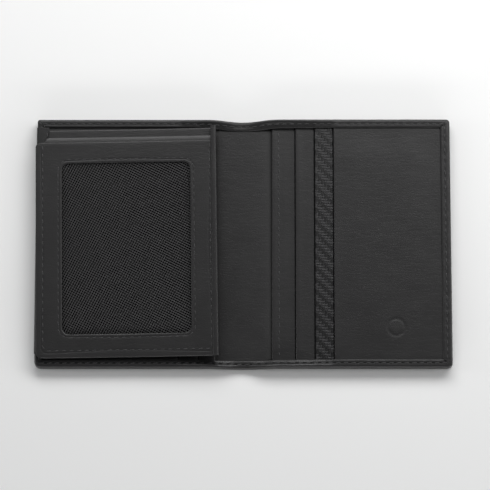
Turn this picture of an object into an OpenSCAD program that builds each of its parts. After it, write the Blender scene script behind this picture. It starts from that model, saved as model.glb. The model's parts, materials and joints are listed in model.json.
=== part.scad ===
// Trifold wallet, lying open on its back with the identity-card leaf closed over the left panel.
// Units are millimetres. +X runs along the open wallet, +Y towards its top edge, +Z up off the table.
// The origin is under the middle of the whole wallet, on the face that it rests on.
// Three stiff stretches share one leather shell: left panel, spine and right panel. The leaf is the
// third panel: it hangs on the left edge and turns out to the left like a page.

/* [Outer shell] */
// Length of the open leather shell
shell_w = 167; // [160:1:175]
// Height of the shell, edge to edge
shell_h = 102; // [98:1:108]
// Thickness of the outer leather
shell_t = 0.9; // [0.8:0.1:1.2]
// Thickness of the leather turned over the edges
lip_t = 0.6; // [0.5:0.1:0.8]
// Thickness of the leather where it climbs the edge
wall_t = 0.8; // [0.6:0.1:1.0]
// Width of the turned edge along the top
hem_top_w = 3.5; // [3:0.1:4]
// Width of the turned edge along the bottom
hem_bottom_w = 3.3; // [2.8:0.1:4]
// Width of the turned edge at the left end
hem_left_w = 3.2; // [2.8:0.1:4]
// Width of the turned edge at the right end
hem_right_w = 3.8; // [2.8:0.1:4]
// Corner radius at the bottom left
corner_bottom_left = 2.6; // [1:0.1:4]
// Corner radius at the bottom right
corner_bottom_right = 2; // [1:0.1:4]
// Corner radius at the top right
corner_top_right = 1.5; // [1:0.1:4]
// Corner radius at the top left
corner_top_left = 1; // [1:0.1:4]

/* [Folds] */
// Distance between the two fold lines of the spine
fold_spacing = 12; // [11:0.5:14]
// Middle of the spine along the wallet
spine_mid_x = 0.25; // [0:0.05:0.5]
// Half of the gap left at a fold between neighbouring stretches
fold_gap = 0.15; // [0.1:0.05:0.3]

/* [Leather and lining sheets] */
// Thickness of a pocket leather sheet
sheet_t = 0.45; // [0.4:0.05:0.5]
// Thickness of the textile lining behind a card pocket
lining_t = 0.12; // [0.08:0.01:0.15]
// Thickness of the stiffening board
board_t = 0.3; // [0.2:0.05:0.4]
// Thickness of the shielding film
film_t = 0.08; // [0.05:0.01:0.12]
// Clearance between neighbouring layers
layer_gap = 0.04; // [0.03:0.01:0.06]

/* [Right panel pockets] */
// Free edge of the pocket base, next to the spine
base_edge_x = 11.8; // [11:0.1:12.5]
// Free edge of the first card pocket
pocket_1_edge_x = 21.4; // [20:0.1:22]
// Free edge of the second card pocket, the one with the twill-embossed face
pocket_2_edge_x = 29.2; // [28:0.1:30]
// Free edge of the front pocket
front_edge_x = 36.8; // [36:0.1:38]
// How far a stepped pocket's leather runs in behind its own edge
pocket_strip_w = 22; // [18:1:26]

/* [Identity leaf] */
// Right edge of the leaf
leaf_right_x = -10.2; // [-11:0.1:-10]
// Left edge of the leaf's window frame
leaf_left_x = -83.1; // [-83.2:0.1:-82.5]
// How much narrower the leaf's inner sheets are at the hinge
hinge_inset = 0.8; // [0.7:0.1:1.5]
// Top edge of the leaf's back sheet
leaf_top_y = 47.2; // [46:0.1:48]
// Bottom edge of the leaf
leaf_bottom_y = -47.1; // [-48:0.1:-46.8]
// Top edge of the leaf's inner pocket sheet
inner_pocket_top_y = 43.7; // [43:0.1:45]
// Top edge of the window frame sheet
frame_top_y = 41.2; // [40:0.1:42]
// Left side of the window
window_left_x = -72.6; // [-74:0.1:-72]
// Right side of the window
window_right_x = -20.8; // [-22:0.1:-20]
// Top of the window
window_top_y = 32.5; // [31:0.1:33]
// Bottom of the window
window_bottom_y = -37.7; // [-38:0.1:-37]
// Corner radius of the window
window_r = 3; // [2:0.5:4]
// Width of the binding along the leaf's free edge
binding_w = 2.2; // [2:0.1:3]
// How far the leaf sits turned on the left panel, in degrees
leaf_skew = 0.8; // [0:0.1:0.8]
// Clearance under the closed leaf
leaf_clearance = 0.3; // [0.3:0.05:0.5]

/* [Stitching] */
// Distance from one stitch to the next
stitch_pitch = 3; // [2.5:0.1:3.5]
// Length of one stitch on the surface
stitch_len = 2.1; // [1.8:0.1:2.4]
// Width of the thread
stitch_w = 0.45; // [0.3:0.05:0.6]
// Height of the thread above the leather
stitch_h = 0.2; // [0.15:0.05:0.3]
// Where the edge's sewing runs, as a share of the turned edge's width
rim_row = 0.56; // [0.5:0.01:0.65]

/* [Hidden] */
$fn = 48;

leather = "#3a3839";
lining_cloth = "#1f1f22";
board_grey = "#8c8a84";
film_silver = "#a9adb0";
twill_leather = "#2c2c30";
net_black = "#161617";
thread_black = "#0d0d0e";

// How far the hinge strip stands out past the shell's left edge, so that the box is centred
hinge_bulge = 0.7;
hinge_strip_t = 0.3;
shell_left_x = -shell_w / 2 + hinge_bulge / 2;
shell_right_x = shell_w / 2 + hinge_bulge / 2;
edge_y = shell_h / 2;
inner_top_y = edge_y - hem_top_w;
inner_bottom_y = -edge_y + hem_bottom_w;
fold_left_x = spine_mid_x - fold_spacing / 2;
fold_right_x = spine_mid_x + fold_spacing / 2;

// Heights of the layers, from the table up
board_z = shell_t + layer_gap;
film_z = board_z + board_t + layer_gap;
facing_z = film_z + film_t + layer_gap;
base_z = facing_z + sheet_t + layer_gap;
lining_1_z = base_z + sheet_t + layer_gap;
pocket_1_z = lining_1_z + lining_t + layer_gap;
lining_2_z = pocket_1_z + sheet_t + layer_gap;
pocket_2_z = lining_2_z + lining_t + layer_gap;
lining_3_z = pocket_2_z + sheet_t + layer_gap;
front_z = lining_3_z + lining_t + layer_gap;

// Top of the turned edge on each stretch
spine_edge_z = facing_z + sheet_t + layer_gap + lip_t;
left_edge_z = pocket_2_z + sheet_t + layer_gap + lip_t;
right_edge_z = front_z + sheet_t + layer_gap + lip_t;

// The turned edge steps down beside each pocket stack, behind a wall of leather
step_wall = 0.5;
left_stack_x = -11;
left_step_x = left_stack_x + layer_gap + step_wall;
right_step_x = base_edge_x - layer_gap - step_wall;
side_gap = 0.1;
sheet_corner_r = 2.2;

// The leaf's layers
leaf_back_z = left_edge_z + leaf_clearance;
leaf_pocket_z = leaf_back_z + sheet_t + layer_gap;
hinge_strip_z = leaf_pocket_z + sheet_t + layer_gap;
mesh_t = 0.15;
mesh_z = hinge_strip_z + hinge_strip_t - mesh_t;
frame_z = mesh_z + mesh_t + layer_gap;
frame_t = 0.6;
leaf_lip_z = frame_z + frame_t + layer_gap;
leaf_lip_t = 0.4;
leaf_wall_t = 0.55;
mesh_margin = 3.2;
leaf_mid = [(leaf_left_x + leaf_right_x) / 2, (leaf_top_y + leaf_bottom_y) / 2];

// The leaf turns about a line along +Y at this height, just outside the shell's left edge
hinge_z = 3.8;
hinge_strip_w = 4.3;
hinge_strip_drop = 0.3;

base_stitch_x = base_edge_x + 2.8;
outer_row_inset = 2.8;
window_row_inset = 1.5;

// Rectangle with its own radius at each corner, given as bottom left, bottom right, top right, top left
module outline(x0, x1, y0, y1, radii) {
    corners = [[x0, y0, 1, 1], [x1, y0, -1, 1], [x1, y1, -1, -1], [x0, y1, 1, -1]];
    difference() {
        translate([x0, y0]) square([x1 - x0, y1 - y0]);
        for (i = [0:3]) {
            if (radii[i] > 0) corner_cut(corners[i], radii[i]);
        }
    }
}

// What a rounded corner takes away from a square one; c is the corner and the direction inwards
module corner_cut(c, r) {
    over = 0.5;
    difference() {
        translate([c[0] + (c[2] > 0 ? -over : -r), c[1] + (c[3] > 0 ? -over : -r)]) square(r + over);
        translate([c[0] + c[2] * r, c[1] + c[3] * r]) circle(r);
    }
}

module slab(z, t) {
    translate([0, 0, z]) linear_extrude(t) children();
}

// One stretch of shell: floor, edge wall and turned-over lip, with a low lip beside the fold
module shell_stretch(x_end, x_fold, x_step, x_stack, hem_w, edge_z, radii) {
    x0 = min(x_end, x_fold);
    x1 = max(x_end, x_fold);
    inward = x_end < x_fold ? 1 : -1;
    cavity_r = [for (r = radii) max(r - wall_t, 0)];
    past_fold = x_fold + inward;
    difference() {
        slab(0, edge_z) outline(x0, x1, -edge_y, edge_y, radii);
        // room for the stack of pockets
        slab(shell_t, edge_z - lip_t - shell_t)
            outline(min(x_end + inward * wall_t, x_stack), max(x_end + inward * wall_t, x_stack),
                    -edge_y + wall_t, edge_y - wall_t, cavity_r);
        // room for the facing alone, between the stack and the fold
        slab(shell_t, spine_edge_z - lip_t - shell_t)
            outline(min(x_stack - inward * 0.5, past_fold), max(x_stack - inward * 0.5, past_fold),
                    -edge_y + wall_t, edge_y - wall_t, [0, 0, 0, 0]);
        // the lip's inner edge
        slab(shell_t, edge_z)
            outline(min(x_end + inward * hem_w, past_fold), max(x_end + inward * hem_w, past_fold),
                    inner_bottom_y, inner_top_y, [0, 0, 0, 0]);
        // step down beside the fold
        slab(spine_edge_z, edge_z)
            outline(min(x_step, past_fold), max(x_step, past_fold), -edge_y - 1, edge_y + 1, [0, 0, 0, 0]);
    }
}

// A sheet of the left panel's stack, held under the turned edge on three sides
module left_sheet(z, t, x_edge) {
    slab(z, t)
        outline(shell_left_x + wall_t + side_gap, x_edge, -edge_y + wall_t + side_gap,
                edge_y - wall_t - side_gap, [sheet_corner_r, 0, 0, sheet_corner_r]);
}

// A sheet of the right panel's stack; x_edge is its free edge and x_far its far one
module right_sheet(z, t, x_edge, x_far = shell_right_x - wall_t - side_gap) {
    r = x_far > shell_right_x - hem_right_w ? sheet_corner_r : 0;
    slab(z, t)
        outline(x_edge, x_far, -edge_y + wall_t + side_gap, edge_y - wall_t - side_gap, [0, r, r, 0]);
}

module on_leaf() {
    translate(leaf_mid) rotate([0, 0, leaf_skew]) translate(-leaf_mid) children();
}

// Evenly spaced stitches from one point to another, lying on the leather at height z
module stitch_row(from, to, z) {
    run = to - from;
    len_run = norm(run);
    count = max(1, floor(len_run / stitch_pitch));
    for (i = [0:count - 1]) {
        mid = from + run * ((i + 0.5) / count);
        translate([mid[0], mid[1], z]) rotate([0, 0, atan2(run[1], run[0])])
            translate([-stitch_len / 2, -stitch_w / 2, 0]) cube([stitch_len, stitch_w, stitch_h]);
    }
}

// ---- left panel ----

module outer_shell_left() {
    color(leather)
        shell_stretch(shell_left_x, fold_left_x - fold_gap, left_step_x, left_stack_x + layer_gap,
                      hem_left_w, left_edge_z, [corner_bottom_left, 0, 0, corner_top_left]);
}

module stiffener_left() {
    color(board_grey) left_sheet(board_z, board_t, left_stack_x);
}

module shield_film_left() {
    color(film_silver) left_sheet(film_z, film_t, left_stack_x);
}

module inner_facing_left() {
    color(leather) left_sheet(facing_z, sheet_t, fold_left_x - fold_gap);
}

module left_pocket_base() {
    color(leather) left_sheet(base_z, sheet_t, left_stack_x);
}

module left_pocket_lining_1() {
    color(lining_cloth) left_sheet(lining_1_z, lining_t, left_stack_x - 8);
}

module left_card_pocket_1() {
    color(leather) left_sheet(pocket_1_z, sheet_t, left_stack_x - 7);
}

module left_pocket_lining_2() {
    color(lining_cloth) left_sheet(lining_2_z, lining_t, left_stack_x - 16);
}

module left_card_pocket_2() {
    color(leather) left_sheet(pocket_2_z, sheet_t, left_stack_x - 15);
}

module rim_stitching_left() {
    x_row = shell_left_x + hem_left_w * rim_row;
    y_top = edge_y - hem_top_w * rim_row;
    y_bottom = -edge_y + hem_bottom_w * rim_row;
    color(thread_black) {
        stitch_row([x_row + 2, y_top], [left_step_x - 1, y_top], left_edge_z);
        stitch_row([x_row + 2, y_bottom], [left_step_x - 1, y_bottom], left_edge_z);
        stitch_row([x_row, y_bottom + 1], [x_row, y_top - 1], left_edge_z);
        stitch_row([left_step_x + 0.3, y_top], [fold_left_x - 0.6, y_top], spine_edge_z);
        stitch_row([left_step_x + 0.3, y_bottom], [fold_left_x - 0.6, y_bottom], spine_edge_z);
    }
}

// ---- spine ----

module outer_shell_spine() {
    x0 = fold_left_x + fold_gap;
    x1 = fold_right_x - fold_gap;
    color(leather) difference() {
        slab(0, spine_edge_z) outline(x0, x1, -edge_y, edge_y, [0, 0, 0, 0]);
        slab(shell_t, spine_edge_z - lip_t - shell_t)
            outline(x0 - 1, x1 + 1, -edge_y + wall_t, edge_y - wall_t, [0, 0, 0, 0]);
        slab(shell_t, spine_edge_z) outline(x0 - 1, x1 + 1, inner_bottom_y, inner_top_y, [0, 0, 0, 0]);
    }
}

module spine_sheet(z, t) {
    slab(z, t)
        outline(fold_left_x + fold_gap, fold_right_x - fold_gap, -edge_y + wall_t + side_gap,
                edge_y - wall_t - side_gap, [0, 0, 0, 0]);
}

module spine_interlining() {
    color(board_grey) spine_sheet(board_z, board_t);
}

module inner_facing_spine() {
    color(leather) spine_sheet(facing_z, sheet_t);
}

module rim_stitching_spine() {
    x0 = fold_left_x + 0.6;
    x1 = fold_right_x - 0.6;
    y_top = edge_y - hem_top_w * rim_row;
    y_bottom = -edge_y + hem_bottom_w * rim_row;
    color(thread_black) {
        stitch_row([x0, y_top], [x1, y_top], spine_edge_z);
        stitch_row([x0, y_bottom], [x1, y_bottom], spine_edge_z);
    }
}

// ---- right panel ----

module outer_shell_right() {
    color(leather)
        shell_stretch(shell_right_x, fold_right_x + fold_gap, right_step_x, base_edge_x - layer_gap,
                      hem_right_w, right_edge_z, [0, corner_bottom_right, corner_top_right, 0]);
}

module stiffener_right() {
    color(board_grey) right_sheet(board_z, board_t, base_edge_x);
}

module shield_film_right() {
    color(film_silver) right_sheet(film_z, film_t, base_edge_x);
}

module inner_facing_right() {
    color(leather) right_sheet(facing_z, sheet_t, fold_right_x + fold_gap);
}

module right_pocket_base() {
    color(leather) right_sheet(base_z, sheet_t, base_edge_x);
}

module base_edge_stitching() {
    color(thread_black)
        stitch_row([base_stitch_x, inner_bottom_y + 0.5], [base_stitch_x, inner_top_y - 0.5],
                   base_z + sheet_t);
}

module pocket_lining_1() {
    color(lining_cloth) right_sheet(lining_1_z, lining_t, pocket_1_edge_x + 1);
}

module card_pocket_1() {
    color(leather) right_sheet(pocket_1_z, sheet_t, pocket_1_edge_x, pocket_1_edge_x + pocket_strip_w);
}

module pocket_lining_2() {
    color(lining_cloth) right_sheet(lining_2_z, lining_t, pocket_2_edge_x + 1);
}

module twill_card_pocket() {
    color(twill_leather)
        right_sheet(pocket_2_z, sheet_t, pocket_2_edge_x, pocket_2_edge_x + pocket_strip_w);
}

module pocket_lining_3() {
    color(lining_cloth) right_sheet(lining_3_z, lining_t, front_edge_x + 1);
}

module front_card_pocket() {
    color(leather) right_sheet(front_z, sheet_t, front_edge_x);
}

module rim_stitching_right() {
    x_row = shell_right_x - hem_right_w * rim_row;
    y_top = edge_y - hem_top_w * rim_row;
    y_bottom = -edge_y + hem_bottom_w * rim_row;
    color(thread_black) {
        stitch_row([right_step_x + 1, y_top], [x_row - 2, y_top], right_edge_z);
        stitch_row([right_step_x + 1, y_bottom], [x_row - 2, y_bottom], right_edge_z);
        stitch_row([x_row, y_bottom + 1], [x_row, y_top - 1], right_edge_z);
        stitch_row([fold_right_x + 0.6, y_top], [right_step_x - 0.3, y_top], spine_edge_z);
        stitch_row([fold_right_x + 0.6, y_bottom], [right_step_x - 0.3, y_bottom], spine_edge_z);
    }
}

// ---- identity leaf ----

// Back sheet whose free edge is turned up and over the sheets above it as a narrow binding
module flap_back_panel() {
    rise = leaf_lip_z + leaf_lip_t - leaf_back_z;
    color(leather) on_leaf() {
        slab(leaf_back_z, sheet_t)
            outline(leaf_left_x + hinge_inset, leaf_right_x, leaf_bottom_y, leaf_top_y, [2.5, 0.6, 0.6, 0.8]);
        slab(leaf_back_z, rise)
            outline(leaf_right_x - leaf_wall_t, leaf_right_x, leaf_bottom_y, leaf_top_y, [0, 0.6, 0.6, 0]);
        slab(leaf_lip_z, leaf_lip_t)
            outline(leaf_right_x - binding_w, leaf_right_x, leaf_bottom_y, leaf_top_y, [0, 0.6, 0.6, 0]);
    }
}

module flap_inner_pocket() {
    color(leather) on_leaf() slab(leaf_pocket_z, sheet_t)
        outline(leaf_left_x + hinge_inset, leaf_right_x - leaf_wall_t - side_gap, leaf_bottom_y + 0.4,
                inner_pocket_top_y, [2, 0, 0, 0]);
}

module window_mesh() {
    color(net_black) on_leaf() slab(mesh_z, mesh_t)
        outline(window_left_x - mesh_margin, window_right_x + mesh_margin,
                window_bottom_y - mesh_margin, window_top_y + mesh_margin, [3, 3, 3, 3]);
}

module window_frame() {
    color(leather) on_leaf() slab(frame_z, frame_t) difference() {
        outline(leaf_left_x, leaf_right_x - leaf_wall_t - side_gap, leaf_bottom_y, frame_top_y,
                [2.5, 0, 0, 0.8]);
        outline(window_left_x, window_right_x, window_bottom_y, window_top_y,
                [window_r, window_r, window_r, window_r]);
    }
}

module flap_edge_stitching() {
    x0 = leaf_left_x + outer_row_inset;
    x1 = leaf_right_x - binding_w - 0.4;
    y0 = leaf_bottom_y + outer_row_inset;
    z = frame_z + frame_t;
    color(thread_black) on_leaf() {
        stitch_row([x0, frame_top_y - 1], [x0, y0 + 1], z);
        stitch_row([x0, y0], [x1 - 1, y0], z);
        stitch_row([x1, y0], [x1, frame_top_y - 1], z);
    }
}

module window_stitching() {
    x0 = window_left_x - window_row_inset;
    x1 = window_right_x + window_row_inset;
    y0 = window_bottom_y - window_row_inset;
    y1 = window_top_y + window_row_inset;
    z = frame_z + frame_t;
    color(thread_black) on_leaf() {
        stitch_row([x0 + 1.5, y0], [x1 - 1.5, y0], z);
        stitch_row([x1, y0 + 1.5], [x1, y1 - 1.5], z);
        stitch_row([x1 - 1.5, y1], [x0 + 1.5, y1], z);
        stitch_row([x0, y1 - 1.5], [x0, y0 + 1.5], z);
    }
}

// Strip that carries the leaf: it comes up outside the shell's left edge and turns in over the leaf's
// back and pocket sheets, under the window frame
module flap_hinge_strip() {
    x0 = shell_left_x - hinge_bulge;
    y0 = leaf_bottom_y + 1.5;
    z0 = hinge_z - hinge_strip_drop;
    length = leaf_top_y - y0;
    color(leather) {
        translate([x0, y0, hinge_strip_z]) cube([hinge_strip_w, length, hinge_strip_t]);
        translate([x0, y0, z0]) cube([hinge_strip_t, length, hinge_strip_z + hinge_strip_t - z0]);
    }
}

outer_shell_left();
stiffener_left();
shield_film_left();
inner_facing_left();
left_pocket_base();
left_pocket_lining_1();
left_card_pocket_1();
left_pocket_lining_2();
left_card_pocket_2();
rim_stitching_left();
outer_shell_spine();
spine_interlining();
inner_facing_spine();
rim_stitching_spine();
outer_shell_right();
stiffener_right();
shield_film_right();
inner_facing_right();
right_pocket_base();
base_edge_stitching();
pocket_lining_1();
card_pocket_1();
pocket_lining_2();
twill_card_pocket();
pocket_lining_3();
front_card_pocket();
rim_stitching_right();
flap_back_panel();
flap_inner_pocket();
window_mesh();
window_frame();
flap_edge_stitching();
window_stitching();
flap_hinge_strip();
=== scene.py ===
"""An open trifold wallet in black leather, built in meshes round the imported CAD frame.

Lengths in this file are in millimetres until piece() and the camera turn them into metres.
"""
import json
import math

import bmesh
import bpy
import numpy as np
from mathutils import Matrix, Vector


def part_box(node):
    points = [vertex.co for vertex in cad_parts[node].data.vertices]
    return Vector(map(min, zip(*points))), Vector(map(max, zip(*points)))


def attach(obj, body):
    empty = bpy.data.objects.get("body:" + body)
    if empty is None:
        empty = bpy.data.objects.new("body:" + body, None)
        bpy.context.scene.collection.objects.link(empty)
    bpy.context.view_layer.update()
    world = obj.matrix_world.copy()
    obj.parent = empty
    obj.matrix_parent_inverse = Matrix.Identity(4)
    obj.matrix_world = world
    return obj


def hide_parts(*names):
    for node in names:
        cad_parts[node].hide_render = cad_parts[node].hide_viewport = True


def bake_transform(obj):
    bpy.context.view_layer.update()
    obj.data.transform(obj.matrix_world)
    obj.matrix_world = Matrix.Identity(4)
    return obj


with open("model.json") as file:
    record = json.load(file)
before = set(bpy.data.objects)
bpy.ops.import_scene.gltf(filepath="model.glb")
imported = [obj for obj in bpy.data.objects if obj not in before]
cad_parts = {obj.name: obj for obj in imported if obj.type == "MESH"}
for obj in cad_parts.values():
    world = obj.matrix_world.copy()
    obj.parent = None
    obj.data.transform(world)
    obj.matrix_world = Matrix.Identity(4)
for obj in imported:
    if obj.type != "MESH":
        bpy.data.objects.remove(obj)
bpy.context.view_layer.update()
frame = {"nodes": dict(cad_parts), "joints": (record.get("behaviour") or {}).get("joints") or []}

MM = 0.001

# ---- sizes


def layer(node):
    """x0, x1, y0, y1, bottom and top of a CAD node, in millimetres."""
    low, high = [[c / MM for c in corner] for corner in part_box(node)]
    return low[0], high[0], low[1], high[1], low[2], high[2]


def stack_steps(nodes, end):
    """Where each sheet of a stack of pockets begins, and how much it raises the turned edge over it."""
    rises = [BASE_RISE] + [POCKET_RISE] * (len(nodes) - 1)
    return [(layer(node)[end], rise) for node, rise in zip(nodes, rises)]


X_LEFT, _, Y_LOW, Y_HIGH, _, LEFT_EDGE_Z = layer("outer_shell_left")
_, X_RIGHT, _, _, _, RIGHT_EDGE_Z = layer("outer_shell_right")
SPINE_X0, SPINE_X1, _, _, _, SPINE_EDGE_Z = layer("outer_shell_spine")
X_MID = (SPINE_X0 + SPINE_X1) / 2
FOLD_X = {joint["name"]: joint["pos_m"][0] / MM for joint in frame["joints"]}

BASE_RISE, POCKET_RISE = 0.49, 0.65
LEFT_STEPS = stack_steps(("left_pocket_base", "left_card_pocket_1", "left_card_pocket_2"), 1)
RIGHT_STEPS = stack_steps(("right_pocket_base", "card_pocket_1", "twill_card_pocket", "front_card_pocket"), 0)
SHELL_T = 0.9
LIP_T = 0.6
HEM_TOP, HEM_BOTTOM = 3.45, 3.3
HEM_LEFT, HEM_RIGHT = 3.2, 3.8
SAG = 0.7                    # how far the top edge droops inwards over the spine
LIP_SAG = 0.35               # how much further its turned edge does
FRONT_SAG = 0.3              # how far the front edge is pulled outwards over the spine
SAG_PAST_STACK = 2.5         # the droop ends this far beyond the first pocket's edge
CORNERS_LEFT = (2.6, 1.0)    # bottom, top
CORNERS_RIGHT = (2.0, 1.5)
FOLD_REACH = 3.8             # the leather bends this far to each side of a fold line
STITCH_PITCH = 3.0
GATHER = 0.07                # how high the sewing gathers the turned edge into small wrinkles
SHELL_STEP = 0.75            # size of the shell's mesh quads
SEAM = 0.56                  # where the rim's sewing runs, as a share of the turned edge's width

LEAF_SKEW = math.radians(0.8)
LEAF_X0, LEAF_X1 = -83.1, -10.2
LEAF_Y0, LEAF_Y1 = -47.1, 47.2
LEAF_MID = np.array([(LEAF_X0 + LEAF_X1) / 2, (LEAF_Y0 + LEAF_Y1) / 2])
LEAF_LIFT = 1.3              # how much the free edge of the leaf springs up
INNER_POCKET_TOP = 43.7
FRAME_TOP = 41.2
WINDOW = (-72.6, -20.8, -37.7, 32.5)     # left, right, front and back edge
WINDOW_R = 3.0
OUTER_ROW, WINDOW_ROW = 2.8, 1.5         # how far the frame's two rows of sewing lie from its edges
BINDING_W = 2.2
SHEET_INSET = 0.65           # the leaf's sheets end this far inside the binding's outer face

# ---- noise


def value_noise(x, y, seed):
    """Smooth noise from -1 to 1 over the plane, the same on every run."""
    ix, iy = np.floor(x), np.floor(y)
    fx, fy = x - ix, y - iy
    fx, fy = fx * fx * (3 - 2 * fx), fy * fy * (3 - 2 * fy)

    def corner(i, j):
        h = np.sin(i * 127.1 + j * 311.7 + seed * 74.7) * 43758.5453
        return 2 * (h - np.floor(h)) - 1

    low = corner(ix, iy) * (1 - fx) + corner(ix + 1, iy) * fx
    high = corner(ix, iy + 1) * (1 - fx) + corner(ix + 1, iy + 1) * fx
    return low * (1 - fy) + high * fy


def ripple(x, y, size, seed):
    """Two octaves of the noise, with bumps about size across."""
    return (value_noise(x / size, y / size, seed)
            + 0.5 * value_noise(2.1 * x / size, 2.1 * y / size, seed + 1)) / 1.5


def smooth(a, b, x):
    t = np.clip((x - a) / (b - a), 0, 1)
    return t * t * (3 - 2 * t)


# ---- mesh building


def grid_faces(rows, columns, first=0, flip=False):
    """Quads of a grid of points stored row by row."""
    i, j = np.meshgrid(np.arange(rows - 1), np.arange(columns - 1), indexing="ij")
    a = (first + i * columns + j).ravel()
    quads = np.stack([a, a + 1, a + columns + 1, a + columns], axis=1)
    return (quads[:, ::-1] if flip else quads).tolist()


def weld(points, faces, edge):
    """Joins points that lie in the same place, and drops faces that this leaves without area."""
    _, first, where = np.unique(np.round(points, 4), axis=0, return_index=True, return_inverse=True)
    where = where.ravel()
    kept = []
    for face in faces:
        ring = []
        for v in (int(where[i]) for i in face):
            if not ring or (v != ring[-1] and v != ring[0]):
                ring.append(v)
        if len(ring) > 2:
            kept.append(ring)
    return points[first], kept, edge[first]


def linked(name, data):
    """A new object in the scene."""
    made = bpy.data.objects.new(name, data)
    bpy.context.collection.objects.link(made)
    return made


def piece(name, shape, look, body=None, bend=None, replaces=()):
    """A mesh object from a shape, which is points in mm, faces and a number per point for its near_edge
    colour: how near it is to an edge, raised for painted highlights and made negative for painted shade.
    look is its material and a slot name, which is not used."""
    points, faces, edge = shape
    material, slot = look
    mesh = bpy.data.meshes.new(name)
    mesh.from_pydata((points * MM).tolist(), [], faces)
    mesh.update()
    rest = mesh.attributes.new("rest_mm", "FLOAT_VECTOR", "POINT")
    rest.data.foreach_set("vector", points.astype(np.float32).ravel())
    near = mesh.attributes.new("near_edge", "FLOAT", "POINT")
    near.data.foreach_set("value", edge.astype(np.float32))
    mesh.shade_smooth()
    mesh.materials.append(material)
    made = linked(name, mesh)
    if replaces:
        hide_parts(*replaces)
    if bend:
        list(bend)
        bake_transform(made)
    else:
        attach(made, body)
    return made


def joined(*shapes):
    """Several shapes as one."""
    points, faces, edges, first = [], [], [], 0
    for p, f, e in shapes:
        points.append(p)
        faces += [[first + i for i in face] for face in f]
        edges.append(e)
        first += len(p)
    return np.concatenate(points), faces, np.concatenate(edges)


def closed_sheet(x, y, high, low):
    """Points and faces of a sheet between two grids of heights over the same places."""
    points = np.concatenate([np.stack([x, y, z], axis=2).reshape(-1, 3) for z in (high, low)])
    rows, columns = x.shape
    count = rows * columns
    faces = grid_faces(rows, columns) + grid_faces(rows, columns, count, flip=True)
    rim = (list(range(columns)) + [i * columns + columns - 1 for i in range(1, rows)]
           + [(rows - 1) * columns + j for j in range(columns - 2, -1, -1)]
           + [i * columns for i in range(rows - 2, 0, -1)])
    faces += [[b, a, a + count, b + count] for a, b in zip(rim, rim[1:] + rim[:1])]
    return points, faces


def strand_faces(rings, sides):
    """Quads round a strand of rings of points, and its two ends."""
    faces = []
    for i in range(rings - 1):
        for j in range(sides):
            a, b = i * sides + j, i * sides + (j + 1) % sides
            faces.append([a, b, b + sides, a + sides])
    faces.append(list(range(sides))[::-1])
    faces.append([(rings - 1) * sides + j for j in range(sides)])
    return faces


ROLL_STEPS = np.array([0, 0.05, 0.17, 0.38, 0.68])      # shares of a rolled edge's width
FALL = 0.9                   # how much of a sheet's half thickness its rolled edge takes up
NEAR = 0.8                   # leather edges are lightened about this far in, as rubbing and painted highlight


def rolled(inside, edge):
    """How far the surface has rolled over at a place this far inside the edge, from 0 to 1."""
    return 1 - np.sqrt(1 - np.clip(1 - inside / edge, 0, 1) ** 2)


def stations(a, b, step, edge):
    """Places along a side, close together near both ends so that the edge rolls over smoothly."""
    lead = edge * ROLL_STEPS
    count = max(2, int(round((b - a - 2 * edge) / step)) + 1)
    return np.concatenate([a + lead, np.linspace(a + edge, b - edge, count), b - lead[::-1]])


def slab(x0, x1, y0, y1, top, bottom, radii=(0, 0, 0, 0), edge=0.35, step=1.0, fall=FALL):
    """A sheet with rolled edges. top and bottom give heights over the plane; radii are those of the
    bottom left, bottom right, top right and top left corners."""
    xs, ys = stations(x0, x1, step, edge), stations(y0, y1, step, edge)
    x, y = np.meshgrid(xs, ys)
    inside = np.minimum(np.minimum(x - x0, x1 - x), np.minimum(y - y0, y1 - y))
    roll = rolled(inside, edge)
    corners = [(x0, y0, 1, 1), (x1, y0, -1, 1), (x1, y1, -1, -1), (x0, y1, 1, -1)]
    for (cx, cy, sx, sy), r in zip(corners, radii):
        if r <= 0:
            continue
        u, v = r - (x - cx) * sx, r - (y - cy) * sy
        here = (u > 0) & (v > 0)
        pull = np.where(here, np.maximum(u, v) / np.maximum(np.hypot(u, v), 1e-9), 1)
        x = np.where(here, cx + sx * (r - u * pull), x)
        y = np.where(here, cy + sy * (r - v * pull), y)
    high, low = top(x, y), bottom(x, y)
    half = (high - low) / 2 * fall
    near = np.exp(-inside / NEAR).ravel()
    return *closed_sheet(x, y, high - half * roll, low + half * roll), np.concatenate([near, near])


def rounded_loop(x0, x1, y0, y1, radii, nx, ny, arc):
    """Points round a rectangle with rounded corners, from the bottom left, the same number for any size."""
    out = []
    centres = [(x0 + radii[0], y0 + radii[0]), (x1 - radii[1], y0 + radii[1]),
               (x1 - radii[2], y1 - radii[2]), (x0 + radii[3], y1 - radii[3])]
    for k in range(4):
        r, (cx, cy) = radii[k], centres[k]
        for i in range(arc + 1):
            t = math.pi + (k + i / arc) * math.pi / 2
            out.append((cx + r * math.cos(t), cy + r * math.sin(t)))
        ex, ey = out[-1]
        nxt, (mx, my) = radii[(k + 1) % 4], centres[(k + 1) % 4]
        t = math.pi + (k + 1) * math.pi / 2
        gx, gy = mx + nxt * math.cos(t), my + nxt * math.sin(t)
        count = nx if k % 2 == 0 else ny
        out += [(ex + (gx - ex) * i / count, ey + (gy - ey) * i / count) for i in range(1, count)]
    return np.array(out)


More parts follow.
